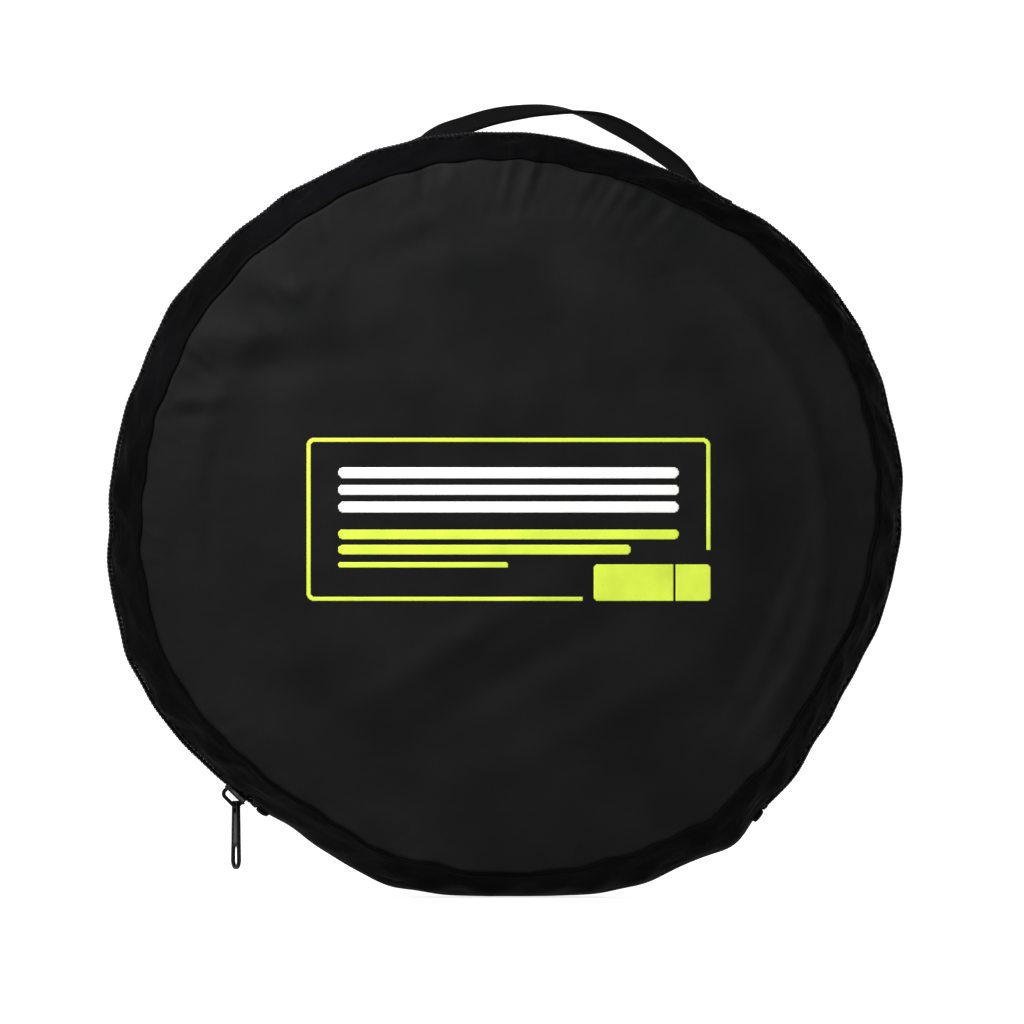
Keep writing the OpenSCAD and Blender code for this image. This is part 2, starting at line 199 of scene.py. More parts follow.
# Where the coiled hoops press outwards: (angle, half spread in degrees, height in mm)
HOOP_MARKS = [(64, 28, 2.6), (116, 20, 2.4), (205, 30, 1.0), (285, 26, 1.2), (340, 24, 0.8)]


def front_relief(x, z):
    """Metres that the front panel stands out towards -Y at a place on it."""
    angle = np.degrees(np.arctan2(x, z - CENTRE.z))
    radius = np.hypot(x, z - CENTRE.z)
    to_seam = seam_radius(angle) - radius
    relief = 1.6 * MM * np.clip(to_seam / (26 * MM), 0, 1) ** 0.7
    for fold_x, fold_z, long, wide, slope, height in FRONT_FOLDS:
        turn = math.radians(slope)
        dx, dz = x / MM - fold_x, (z - CENTRE.z) / MM - fold_z
        along = dx * math.cos(turn) + dz * math.sin(turn)
        beside = dz * math.cos(turn) - dx * math.sin(turn)
        relief += height * MM * np.exp(-((along / long) ** 2) - (beside / wide) ** 2)
    hoop_distance = np.hypot(x - CONTENTS.x, z - CONTENTS.z) - HOOP_R
    for mark, spread, height in HOOP_MARKS:
        off = (angle - mark + 180) % 360 - 180
        share = np.exp(-((off / spread) ** 2))
        ridge = np.exp(-((hoop_distance / (5 * MM)) ** 2))
        hollow = np.exp(-(((hoop_distance + 17 * MM) / (12 * MM)) ** 2))
        relief += share * height * MM * (ridge - 0.7 * hollow)
    points = np.stack([x, np.zeros_like(x), z], axis=-1)
    relief += 0.7 * MM * noise_at(points, 34 * MM) + 0.28 * MM * noise_at(points, 13 * MM, 3)
    # The puckers lean over to one side as they run out into the panel
    inside = np.clip(to_seam, 0, None) / MM
    puckers = gather_wave(angle + 0.1 * inside) * np.exp(-inside / 9)
    return np.maximum(relief, -1.4 * MM) + 1.9 * MM * puckers


# ---------- mesh helpers ----------

def new_object(name, data):
    obj = bpy.data.objects.new(name, data)
    bpy.context.scene.collection.objects.link(obj)
    return obj


def mesh_object(name, points, faces, cloth=None):
    """A mesh piece, with the place of each point on its cloth in an attribute that materials read."""
    mesh = bpy.data.meshes.new(name)
    mesh.from_pydata(np.asarray(points, float).reshape(-1, 3).tolist(), [], faces)
    mesh.validate()
    if cloth is not None:
        attribute = mesh.attributes.new("cloth", "FLOAT_VECTOR", "POINT")
        attribute.data.foreach_set("vector", np.asarray(cloth, np.float32).ravel())
    mesh.polygons.foreach_set("use_smooth", [True] * len(mesh.polygons))
    return new_object(name, mesh)


def grid_faces(rows, columns, close_rows=False, close_columns=False, flip=False):
    faces = []
    for i in range(rows if close_rows else rows - 1):
        for j in range(columns if close_columns else columns - 1):
            near, far = (j + 1) % columns, (i + 1) % rows
            face = (i * columns + j, i * columns + near, far * columns + near, far * columns + j)
            faces.append(face[::-1] if flip else face)
    return faces


def grid_object(name, points, cloth=None, **options):
    rows, columns = points.shape[:2]
    return mesh_object(name, points, grid_faces(rows, columns, **options), cloth)


def swept(name, path, profile, closed=False, up=None):
    """Sweeps a closed profile, given as (side, up) pairs for each path point, along a path."""
    path = np.asarray(path, float)
    count = len(path)
    ahead = np.roll(path, -1, 0) - np.roll(path, 1, 0)
    if not closed:
        ahead[0], ahead[-1] = path[1] - path[0], path[-1] - path[-2]
    ahead /= np.linalg.norm(ahead, axis=1, keepdims=True)
    up = np.broadcast_to(np.asarray(up, float), path.shape)
    side = np.cross(up, ahead)
    side /= np.linalg.norm(side, axis=1, keepdims=True)
    above = np.cross(ahead, side)
    profile = np.broadcast_to(np.asarray(profile, float), (count, *np.shape(profile)[-2:]))
    points = path[:, None] + profile[..., :1] * side[:, None] + profile[..., 1:] * above[:, None]
    faces = grid_faces(count, profile.shape[1], close_rows=closed, close_columns=True)
    if not closed:
        sides = profile.shape[1]
        faces.append(tuple(range(sides)))
        faces.append(tuple(range(count * sides - 1, (count - 1) * sides - 1, -1)))
    along = np.concatenate([[0], np.cumsum(np.linalg.norm(np.diff(path, axis=0), axis=1))])
    rim = np.concatenate([[0], np.cumsum(np.linalg.norm(np.diff(profile[0], axis=0), axis=1))])
    place = np.stack(np.broadcast_arrays(along[:, None], rim[None], 0.0), axis=-1)
    return mesh_object(name, points, faces, place)


def round_profile(radius, sides, squash=1.0):
    turn = np.linspace(0, 2 * math.pi, sides, endpoint=False)
    return np.stack([radius * np.cos(turn), radius * squash * np.sin(turn)], axis=-1)


def thicken(obj, thickness):
    modifier = obj.modifiers.new("thickness", "SOLIDIFY")
    modifier.thickness = thickness
    modifier.offset = -1
    return obj


# Spare length of the gathered cloth, how many frames it settles for, and how far a point may move
SLACK = 0.14
SETTLE_FRAMES = 26
SETTLE_LIMIT = 2.4 * MM
# A light, limp cloth, so that it buckles within those frames
CLOTH_SETTINGS = {
    "quality": 6,
    "mass": 0.0005,
    "tension_stiffness": 3,
    "compression_stiffness": 3,
    "shear_stiffness": 1,
    "bending_stiffness": 0.06,
    "tension_damping": 0.1,
    "compression_damping": 0.1,
    "bending_damping": 0.6,
    "air_damping": 0.5,
    "vertex_group_mass": "held",
    "pin_stiffness": 2,
    "vertex_group_shrink": "slack",
    "shrink_min": 0,
    "shrink_max": -SLACK,
}
WEIGHT_STEPS = 20


def weigh(obj, name, weights):
    """Gives each point its weight, from 0 to 1, in a vertex group of this name."""
    group = obj.vertex_groups.new(name=name)
    levels = np.round(np.clip(weights, 0, 1) * WEIGHT_STEPS) / WEIGHT_STEPS
    for level in np.unique(levels):
        group.add(np.flatnonzero(levels == level).tolist(), float(level), "REPLACE")


def points_of(mesh):
    points = np.empty(len(mesh.vertices) * 3, np.float32)
    mesh.vertices.foreach_get("co", points)
    return points.reshape(-1, 3)


def settle(obj, held, slack):
    """Lets cloth that is longer than its room buckle by itself, and leaves the result in its mesh.

    Both weights run from 0 to 1 at each point: held is how firmly, slack is how much of SLACK it has spare.
    """
    weigh(obj, "held", held)
    weigh(obj, "slack", slack)
    modifier = obj.modifiers.new("settle", "CLOTH")
    for name, value in CLOTH_SETTINGS.items():
        setattr(modifier.settings, name, value)
    modifier.settings.effector_weights.gravity = 0
    modifier.collision_settings.use_collision = False
    modifier.point_cache.frame_start = 1
    modifier.point_cache.frame_end = SETTLE_FRAMES
    scene = bpy.context.scene
    for step in range(1, SETTLE_FRAMES + 1):
        scene.frame_set(step)
    settled = points_of(obj.evaluated_get(bpy.context.evaluated_depsgraph_get()).data)
    obj.modifiers.remove(modifier)
    scene.frame_set(1)
    before = points_of(obj.data)
    moved = settled - before
    far = np.linalg.norm(moved, axis=1, keepdims=True)
    moved *= np.tanh(far / SETTLE_LIMIT) * SETTLE_LIMIT / np.maximum(far, 1e-9)
    obj.data.vertices.foreach_set("co", (before + moved).ravel())
    obj.vertex_groups.clear()


def bend_with_cover(obj):
    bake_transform(obj)
    return obj


def dress(obj, material):
    obj.data.materials.clear()
    obj.data.materials.append(material)
    return obj


# ---------- materials ----------

SOCKETS = {
    "sheen": "Sheen Weight",
    "sheen_rough": "Sheen Roughness",
    "specular": "Specular IOR Level",
    "coat": "Coat Weight",
    "glow": "Emission Strength",
}


class Shader:
    """A material's nodes, with short calls for the ones used here."""

    def __init__(self, name, roughness, **constants):
        self.material = bpy.data.materials.new(name)
        self.material.use_nodes = True
        self.tree = self.material.node_tree
        self.surface = self.tree.nodes["Principled BSDF"]
        self.surface.inputs["Roughness"].default_value = roughness
        for socket, value in constants.items():
            self.surface.inputs[SOCKETS[socket]].default_value = value

    def node(self, kind, **values):
        made = self.tree.nodes.new("ShaderNode" + kind)
        for key, value in values.items():
            setattr(made, key, value)
        return made

    def link(self, source, target):
        self.tree.links.new(source, target)

    def math(self, operation, first, second=None):
        made = self.node("Math", operation=operation)
        for socket, value in zip(made.inputs, (first, second)):
            if value is None:
                continue
            if isinstance(value, (int, float)):
                socket.default_value = value
            else:
                self.link(value, socket)
        return made.outputs[0]

    def place(self, attribute=None):
        """Where a point is: on its own cloth, or in the object's frame."""
        if attribute:
            return self.node("Attribute", attribute_name=attribute).outputs["Vector"]
        return self.node("TexCoord").outputs["Object"]

    def noise(self, place, size, detail=3.0, roughness=0.5):
        made = self.node("TexNoise")
        made.inputs["Scale"].default_value = 1 / size
        made.inputs["Detail"].default_value = detail
        made.inputs["Roughness"].default_value = roughness
        self.link(place, made.inputs["Vector"])
        return made.outputs["Fac"]

    def ramp(self, factor, stops):
        made = self.node("ValToRGB")
        elements = made.color_ramp.elements
        while len(elements) < len(stops):
            elements.new(0.5)
        for element, (position, color) in zip(elements, stops):
            element.position = position
            element.color = (*color, 1) if len(color) == 3 else color
        self.link(factor, made.inputs["Fac"])
        return made.outputs["Color"]

    def mix(self, factor, first, second, blend="MIX"):
        made = self.node("Mix", data_type="RGBA", blend_type=blend)
        sockets = made.inputs[0], made.inputs[6], made.inputs[7]
        for socket, value in zip(sockets, (factor, first, second)):
            if isinstance(value, (int, float)):
                socket.default_value = value
            elif isinstance(value, tuple):
                socket.default_value = (*value, 1)
            else:
                self.link(value, socket)
        return made.outputs[2]

    def weave(self, place, period_u, period_v):
        """Height of a plain weave: threads over and under each other in both directions."""
        split = self.node("SeparateXYZ")
        self.link(place, split.inputs[0])
        waves = [
            self.math("SINE", self.math("MULTIPLY", split.outputs[axis], math.tau / period))
            for axis, period in ((0, period_u), (1, period_v))
        ]
        crossing = self.math("MULTIPLY", waves[0], waves[1])
        return self.math("MULTIPLY_ADD", crossing, 0.5)

    def bump(self, layers):
        """Stacks bumps, each (height, distance, strength)."""
        last = None
        for height, distance, strength in layers:
            made = self.node("Bump")
            made.inputs["Distance"].default_value = distance
            made.inputs["Strength"].default_value = strength
            self.link(height, made.inputs["Height"])
            if last is not None:
                self.link(last, made.inputs["Normal"])
            last = made.outputs["Normal"]
        self.link(last, self.surface.inputs["Normal"])

    def color(self, output):
        self.link(output, self.surface.inputs["Base Color"])

    def rough(self, factor, low, high):
        made = self.node("MapRange")
        made.inputs["To Min"].default_value = low
        made.inputs["To Max"].default_value = high
        self.link(factor, made.inputs["Value"])
        self.link(made.outputs[0], self.surface.inputs["Roughness"])


def cloth_material(name, dark, light, period=0.62 * MM, specular=0.12):
    """Plain-weave polyester: fine threads, slubs, and soft patches where it has been rubbed."""
    roughness, weave_depth = 0.72, 0.09 * MM
    s = Shader(name, roughness, specular=specular)
    place = s.place("cloth")
    threads = s.weave(place, period, period)
    slubs = s.noise(place, 2.4 * MM, 4, 0.6)
    rubbed = s.noise(place, 45 * MM, 3)
    base = s.ramp(rubbed, [(0.3, dark), (0.7, light)])
    base = s.mix(0.35, base, s.ramp(threads, [(0.0, (0.45, 0.45, 0.45)), (1.0, (1, 1, 1))]), "MULTIPLY")
    base = s.mix(0.55, base, s.ramp(slubs, [(0.35, (0.6, 0.6, 0.6)), (0.65, (1, 1, 1))]), "MULTIPLY")
    s.color(base)
    s.rough(slubs, roughness - 0.08, roughness + 0.1)
    s.bump([(threads, weave_depth, 0.6), (slubs, 0.12 * MM, 0.35)])
    return s.material


def tape_material():
    """Knitted zip tape, ribbed along its length."""
    s = Shader("zip_tape", 0.9, specular=0.04)
    place = s.place("cloth")
    rows = s.weave(place, 1.1 * MM, 0.8 * MM)
    fuzz = s.noise(place, 1.2 * MM, 3)
    s.color(s.mix(0.5, s.ramp(fuzz, [(0.3, (0.002, 0.002, 0.0028)), (0.7, (0.005, 0.005, 0.006))]),
                  s.ramp(rows, [(0.0, (0.4, 0.4, 0.4)), (1.0, (1, 1, 1))]), "MULTIPLY"))
    s.bump([(rows, 0.15 * MM, 0.8), (fuzz, 0.1 * MM, 0.3)])
    return s.material


def webbing_material():
    """Coarse webbing: chunky ribs across the strap, and fuzz."""
    s = Shader("webbing", 0.85, specular=0.02)
    place = s.place("cloth")
    ribs = s.weave(place, 2.3 * MM, 1.7 * MM)
    fuzz = s.noise(place, 0.9 * MM, 4, 0.65)
    base = s.ramp(fuzz, [(0.3, (0.001, 0.001, 0.0011)), (0.7, (0.0036, 0.0036, 0.0037))])
    s.color(s.mix(0.75, base, s.ramp(ribs, [(0.1, (0.3, 0.3, 0.3)), (0.9, (1, 1, 1))]), "MULTIPLY"))
    s.rough(fuzz, 0.72, 0.92)
    s.bump([(ribs, 0.45 * MM, 0.9), (fuzz, 0.15 * MM, 0.4)])
    return s.material


def coil_material():
    s = Shader("zip_coil", 0.62, specular=0.05)
    scuffs = s.noise(s.place(), 3 * MM, 4, 0.6)
    s.color(s.ramp(scuffs, [(0.35, (0.003, 0.003, 0.0035)), (0.75, (0.01, 0.01, 0.011))]))
    s.rough(scuffs, 0.52, 0.72)
    s.bump([(scuffs, 0.05 * MM, 0.4)])
    return s.material


def painted_metal_material(name, paint, bare, wear_from, wear_to):
    """Black paint that is worn through to bare zinc along its edges."""
    s = Shader(name, 0.5, specular=0.07)
    place = s.place()
    grain = s.noise(place, 0.5 * MM, 4, 0.65)
    patches = s.noise(place, 2.2 * MM, 3)
    edge = s.node("Attribute", attribute_name="edge").outputs["Fac"]
    worn = s.math("ADD", edge, s.math("MULTIPLY", s.math("SUBTRACT", patches, 0.5), 0.9))
    mask = s.node("MapRange")
    mask.inputs["From Min"].default_value = wear_from
    mask.inputs["From Max"].default_value = wear_to
    s.link(worn, mask.inputs["Value"])
    lacquer = s.ramp(grain, [(0.3, paint), (0.75, tuple(c * 1.8 for c in paint))])
    s.color(s.mix(mask.outputs[0], lacquer, bare))
    s.link(mask.outputs[0], s.surface.inputs["Metallic"])
    s.rough(grain, 0.4, 0.6)
    s.bump([(grain, 0.03 * MM, 0.5)])
    return s.material


def ink_material(name, dark, light):
    """Screen-printed ink: it fills the weave, with small pinholes where threads show through."""
    s = Shader(name, 0.55, specular=0.4)
    place = s.place("cloth")
    threads = s.weave(place, 0.62 * MM, 0.62 * MM)
    speckle = s.noise(place, 0.7 * MM, 4, 0.7)
    film = s.noise(place, 16 * MM, 3)
    base = s.ramp(film, [(0.3, dark), (0.7, light)])
    base = s.mix(0.3, base, s.ramp(threads, [(0.0, (0.72, 0.72, 0.72)), (0.6, (1, 1, 1))]), "MULTIPLY")
    base = s.mix(1.0, base, s.ramp(speckle, [(0.27, (0.25, 0.25, 0.25)), (0.36, (1, 1, 1))]), "MULTIPLY")
    s.color(base)
    s.rough(speckle, 0.48, 0.68)
    s.bump([(threads, 0.06 * MM, 0.5), (speckle, 0.05 * MM, 0.4)])
    return s.material


def netting_material():
    """Fine knitted net, with dark holes between its threads."""
    s = Shader("netting", 0.75, sheen=0.15)
    place = s.place("cloth")
    cells = s.weave(place, 2.6 * MM, 2.6 * MM)
    shade = s.noise(place, 22 * MM, 3)
    base = s.ramp(shade, [(0.3, (0.03, 0.055, 0.075)), (0.7, (0.055, 0.09, 0.12))])
    s.color(s.mix(0.85, base, s.ramp(cells, [(0.3, (0.08, 0.08, 0.08)), (0.62, (1, 1, 1))]), "MULTIPLY"))
    s.bump([(cells, 0.5 * MM, 0.8), (shade, 1.5 * MM, 0.3)])
    return s.material


def floor_material():
    s = Shader("floor_and_backdrop", 0.9, glow=0.8)
    shade = s.noise(s.place(), 0.6, 2)
    s.color(s.ramp(shade, [(0.3, (0.5, 0.5, 0.5)), (0.7, (0.53, 0.53, 0.53))]))
    return s.material


PANEL = cloth_material("panel_cloth", (0.0018, 0.0020, 0.0019), (0.0040, 0.0043, 0.0040), specular=0.045)
# Painted shade: the gusset is the panel's black cloth, given a darker colour for the shade on the band that
# curves away from the front light.
GUSSET_PAINTED_SHADE = cloth_material(
    "gusset_cloth", (0.0003, 0.0003, 0.0004), (0.0013, 0.0013, 0.0016), specular=0.015
)
# Painted shade: the rolled seam is the same black cloth, given the gusset's darker colour so that it shows
# no lit edge; the end tabs and inner bindings share this colour.
BINDING_PAINTED_SHADE = cloth_material(
    "binding", (0.0004, 0.0004, 0.0005), (0.0016, 0.0016, 0.0018), period=1.1 * MM, specular=0.012
)
TAPE = tape_material()
WEBBING = webbing_material()
COIL = coil_material()
SLIDER_METAL = painted_metal_material(
    "slider_metal", (0.003, 0.003, 0.0032), (0.1, 0.098, 0.094), wear_from=0.8, wear_to=1.3
)
BLACK_METAL = painted_metal_material(
    "black_metal", (0.0015, 0.0015, 0.0016), (0.03, 0.03, 0.03), wear_from=1.0, wear_to=1.6
)
WEB_METAL = painted_metal_material(
    "worn_metal", (0.02, 0.02, 0.021), (0.1, 0.1, 0.096), wear_from=0.6, wear_to=1.5
)
LIME = ink_material("lime_ink", (0.26, 0.33, 0.009), (0.31, 0.39, 0.014))
WHITE = ink_material("white_ink", (0.37, 0.37, 0.36), (0.43, 0.43, 0.42))
NETTING = netting_material()
SLEEVE = cloth_material("hoop_sleeve", (0.012, 0.012, 0.013), (0.02, 0.02, 0.022), period=0.8 * MM)
THREAD = cloth_material(
    "seam_thread", (0.0005, 0.0005, 0.0006), (0.0016, 0.0016, 0.0017), period=0.4 * MM, specular=0.015
)


# ---------- cloth shell ----------

CLOTH_T = 0.9 * MM


def panel_grid(rings, spokes, relief):
    """A disc of cloth inside a seam: points as (ring, spoke), from the middle outwards."""
    angle = np.linspace(0, 360, spokes, endpoint=False)[None]
    share = (np.arange(1, rings + 1) / rings)[:, None] ** 0.92
    radius = share * (seam_radius(angle) - 0.4 * MM)
    flat = around(angle, radius, 0.0)
    stand = relief(flat[..., 0], flat[..., 2])
    return angle, flat, stand


def panel_object(name, rings, spokes, relief, side):
    angle, flat, stand = panel_grid(rings, spokes, relief)
    edge = np.linspace(0, 1, rings)[:, None] ** 30
    stand = stand * (1 - edge) + seam_depth(angle) * edge
    flat[..., 1] = side * (HALF_DEPTH + stand)
    middle = np.array([[0, flat[0, :, 1].mean(), CENTRE.z]])
    points = np.concatenate([middle, flat.reshape(-1, 3)])
    faces = [tuple(k + 1 for k in face) for face in grid_faces(rings, spokes, close_columns=True)]
    faces += [(0, (k + 1) % spokes + 1, k + 1) for k in range(spokes)]
    if side > 0:
        faces = [face[::-1] for face in faces]
    cloth = points[:, [0, 2, 1]] * np.array([1, 1, 0])
    obj = mesh_object(name, points, faces, cloth)
    return dress(obj, PANEL)


def settle_front(panel):
    """Lets the front buckle near its seam, most of all across the top, and holds it further in."""
    co = np.array([v.co for v in panel.data.vertices])
    x, z = co[:, 0], co[:, 2] - CENTRE.z
    angle = np.degrees(np.arctan2(x, z))
    to_seam = seam_radius(angle) - np.hypot(x, z)
    held = np.clip((to_seam - 30 * MM) / (25 * MM), 0, 1)
    held[to_seam < 1.2 * MM] = 1
    from_top = (angle - 12 + 180) % 360 - 180
    slack = 0.35 + 0.65 * np.exp(-((from_top / 42) ** 2))
    settle(panel, held, slack)


def back_relief(x, z):
    """Metres that the back panel stands out towards +Y at a place on it."""
    points = np.stack([x, np.full_like(x, 0.3), z], axis=-1)
    angle = np.degrees(np.arctan2(x, z - CENTRE.z))
    radius = np.hypot(x, z - CENTRE.z)
    crown = 1.2 * MM * np.clip((SEAM_R - radius) / (26 * MM), 0, 1) ** 0.7
    waves = 0.8 * MM * noise_at(points, 42 * MM, 5) + 0.2 * MM * noise_at(points, 14 * MM, 6)
    to_seam = np.clip(seam_radius(angle) - radius, 0, None)
    puckers = 0.3 * MM * gather_wave(angle + 40) * np.exp(-to_seam / (6 * MM))
    return crown + waves + puckers


def make_panels():
    front = panel_object("front_panel_cloth", 64, 480, front_relief, -1)
    settle_front(front)
    thicken(front, CLOTH_T)
    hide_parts("front_panel", "front_panel_lower")
    bend_with_cover(front)
    back = panel_object("back_panel_cloth", 52, 420, back_relief, 1)
    thicken(back, CLOTH_T)
    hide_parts("back_panel")
    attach(back, "bag")


def gusset_object(name, across_from, across_to, rows, angle_from=0.0, angle_to=360.0, columns=720):
    closed = angle_to - angle_from == 360
    angle = np.linspace(angle_from, angle_to, columns, endpoint=not closed)[None]
    across = np.linspace(across_from, across_to, rows)[:, None]
    points = gusset_points(angle, across)
    length = np.radians(angle) * RIM_R
    width = across * HALF_DEPTH * 1.1
    cloth = np.stack(np.broadcast_arrays(length, width, 0.0), axis=-1)
    obj = grid_object(name, points, cloth, close_columns=closed)
    if closed:
        held = np.zeros(points.shape[:2])
        held[0] = held[-1] = 1
        held[points[..., 2] < 4 * MM] = 1
        settle(obj, held.ravel(), np.full(held.size, 0.7))
    # Cut as a straight strip, a little longer than the rim so that it gathers
    return thicken(dress(obj, GUSSET_PAINTED_SHADE), CLOTH_T)


ZIP_EDGE = 0.30
TAPE_LAP = 0.42


def make_gussets():
    front = gusset_object("front_gusset_cloth", -1, -ZIP_EDGE, 18)
    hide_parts("front_gusset")
    bend_with_cover(front)
    back = gusset_object("back_gusset_cloth", ZIP_EDGE, 1, 18)
    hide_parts("back_gusset")
    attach(back, "bag")
    under_zip = 0.9
    span = (360 - ZIP_FROM - under_zip, ZIP_FROM + under_zip)
    bottom = gusset_object("bottom_gusset_cloth", -ZIP_EDGE, ZIP_EDGE, 16, *span, 180)
    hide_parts("hinge_gusset")
    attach(bottom, "bag")


def seam_path(side, count=720):
    angle = np.linspace(0, 360, count, endpoint=False)
    depth = HALF_DEPTH - 0.2 * MM + seam_depth(angle) + 0.25 * MM * gather_wave(angle)
    return around(angle, seam_radius(angle), side * depth)


def make_seams():
    """The rolled edge where panel and gusset are sewn together."""
    for side, name, nodes in (
        (-1, "front_seam_roll", ("front_seam", "front_seam_lower")),
        (1, "back_seam_roll", ("back_seam",)),
    ):
        path = seam_path(side)
        roll = swept(name, path, round_profile(0.95 * MM, 10), closed=True, up=(0, 1, 0))
        dress(roll, BINDING_PAINTED_SHADE)
        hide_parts(*nodes)
        if side < 0:
            bend_with_cover(roll)
        else:
            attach(roll, "bag")


# ---------- zip ----------

def zip_angles(step):
    """Angles along the zip, with its ends tucked under the end tabs."""
    tuck = 1.3
    return np.linspace(ZIP_FROM - tuck, ZIP_TO + tuck, int((ZIP_TO - ZIP_FROM) / step))


def make_tape(side, name, nodes):
    """A zip tape, from under the cloth's edge to the coil."""
    angle = zip_angles(0.6)[None]
    across = side * np.linspace(0.03, TAPE_LAP, 9)[:, None]
    points = gusset_points(angle, across)
    centre = np.array([0, 0, CENTRE.z])
    outward = points - centre
    outward[..., 1] = 0
    outward /= np.linalg.norm(outward, axis=-1, keepdims=True)
    points = points - outward * 1.1 * MM
    cloth = np.stack(np.broadcast_arrays(np.radians(angle) * RIM_R, across * HALF_DEPTH, 0.0), axis=-1)
    tape = grid_object(name, points, cloth, flip=side < 0)
    thicken(dress(tape, TAPE), 0.6 * MM)
    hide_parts(*nodes)
    return tape


TOOTH_PITCH = 1.8 * MM


def make_coil(side, name, nodes):
    """One side of a coil zip: a wound thread whose turns mesh with the other side's."""
    steps = 11
    turns = int(math.radians(ZIP_TO - ZIP_FROM) * RIM_R / TOOTH_PITCH)
    count = turns * steps
    along = np.arange(count) / steps
    wound = along * 2 * math.pi
    angle = ZIP_FROM + (along + (0.5 if side > 0 else 0)) / turns * (ZIP_TO - ZIP_FROM - 0.4)
    centre_r = RIM_R + rim_offset(angle) - 0.25 * MM
    radius = centre_r + 0.75 * MM * np.sin(wound)
    # Each turn reaches past the middle between two turns of the other side
    depth = side * (1.05 * MM - 1.25 * MM * np.cos(wound))
    path = around(angle, radius, depth)
    coil = swept(name, path, round_profile(0.34 * MM, 6), up=around(angle, 1.0, 0.0) - [0, 0, CENTRE.z])
    dress(coil, COIL)
    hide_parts(*nodes)
    return coil


def make_filler_cord(side, name, nodes):
    """The cord inside a coil."""
    angle = zip_angles(0.5)
    path = around(angle, RIM_R + rim_offset(angle) - 0.3 * MM, side * 1.15 * MM)
    outward = around(angle, 1.0, 0.0) - [0, 0, CENTRE.z]
    cord = swept(name, path, round_profile(0.5 * MM, 8), up=outward)
    dress(cord, TAPE)
    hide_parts(*nodes)
    return cord


def make_zip():
    front_ends = ("front_tape_end_left", "front_tape_end_right")
    coil_ends = ("front_coil_end_left", "front_coil_end_right")
    bend_with_cover(make_tape(-1, "front_zip_tape", ("zip_tape_front", *front_ends)))
    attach(make_tape(1, "back_zip_tape", ("zip_tape_back",)), "bag")
    bend_with_cover(make_coil(-1, "front_zip_coil", ("zip_coil_front", *coil_ends)))
    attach(make_coil(1, "back_zip_coil", ("zip_coil_back",)), "bag")
    bend_with_cover(make_filler_cord(-1, "front_zip_cord", ("zip_coil_front", *coil_ends)))
    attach(make_filler_cord(1, "back_zip_cord", ("zip_coil_back",)), "bag")


def make_stitches():
    """Rows of topstitching beside the zip, as short raised threads."""
    length, gap = 2.6 * MM, 1.1 * MM
    for side, name in ((-1, "front_zip_stitches"), (1, "back_zip_stitches")):
        count = int(math.radians(ZIP_TO - ZIP_FROM) * RIM_R / (length + gap))
        starts = ZIP_FROM + np.arange(count) / count * (ZIP_TO - ZIP_FROM)
        span = math.degrees(length / RIM_R)
        points, faces = [], []
        share = np.linspace(0, 1, 6)
        profile = round_profile(0.24 * MM, 6)
        for start in starts:
            angle = start + share * span
            path = gusset_points(angle, side * (ZIP_EDGE + 0.055))
            outward = around(angle, 1.0, 0.0) - [0, 0, CENTRE.z]
            path = path + outward * (0.28 * MM * np.sin(share * math.pi) - 0.08 * MM)[:, None]
            base = len(points) * len(profile)
            for k, centre in enumerate(path):
                thin = 0.55 + 0.45 * math.sin(math.pi * share[k])
                ring = profile[:, :1] * np.array([0, 1, 0]) + profile[:, 1:] * outward[k]
                points.append(centre + thin * ring)
            tube = grid_faces(len(share), len(profile), close_columns=True)
            faces += [tuple(base + v for v in face) for face in tube]
        flat = np.concatenate(points)
        stitches = mesh_object(name, flat, faces, flat)
        dress(stitches, THREAD)
        if side < 0:
            bend_with_cover(stitches)
        else:
            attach(stitches, "bag")


# ---------- print ----------

def relief_sheet(node, material, mask, cell):
    """A film of ink that stands for a CAD node and follows the front cloth, wherever the mask is true."""
    width, height, centre_x, centre_z = ink_box(node)
    columns, rows = max(2, round(width / cell)), max(2, round(height / cell))
    x = np.linspace(-width / 2, width / 2, columns + 1)
    z = np.linspace(-height / 2, height / 2, rows + 1)
    grid_x, grid_z = np.meshgrid(x, z)
    world_x, world_z = grid_x + centre_x, grid_z + centre_z
    stand = front_relief(world_x, world_z)
    points = np.stack([world_x, -HALF_DEPTH - stand - 0.14 * MM, world_z], axis=-1)
    middle_x, middle_z = (x[:-1] + x[1:]) / 2, (z[:-1] + z[1:]) / 2
    keep = mask(*np.meshgrid(middle_x, middle_z)).ravel()
    faces = [face for face, kept in zip(grid_faces(rows + 1, columns + 1), keep) if kept]
    used = sorted({v for face in faces for v in face})
    renumber = {v: k for k, v in enumerate(used)}
    faces = [tuple(renumber[v] for v in face) for face in faces]
    points = points.reshape(-1, 3)[used]
    sheet = mesh_object(node + "_ink", points, faces, points[:, [0, 2, 1]] * np.array([1, 1, 0]))
    thicken(dress(sheet, material), 0.1 * MM)
    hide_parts(node)
    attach(sheet, "cover")


def rounded(x, z, half_w, half_h, radius):
    """Distance outside a rounded box, negative inside."""
    dx = np.abs(x) - half_w + radius
    dz = np.abs(z) - half_h + radius
    beyond = np.hypot(np.clip(dx, 0, None), np.clip(dz, 0, None))
    return beyond + np.minimum(np.maximum(dx, dz), 0) - radius


# The full panel bulges, which brings the print down a little
PRINT_DROP = 1.7 * MM


def ink_box(node):
    low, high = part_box(node)
    return high.x - low.x, high.z - low.z, (low.x + high.x) / 2, (low.z + high.z) / 2 - PRINT_DROP


def frame_mask(node):
    """The frame's line, which stops short of the corner where the block sits."""
    width, height = ink_box(node)[:2]
    line, corner = 1.7 * MM, 3.3 * MM
    right_stop = 21 * MM
    bottom_stop = 113.5 * MM

    def mask(x, z):
        edge = rounded(x, z, width / 2, height / 2, corner)
        open_corner = (x > bottom_stop - width / 2) & (z < right_stop - height / 2)
        return (edge < 0) & (edge > -line) & ~open_corner

    return mask


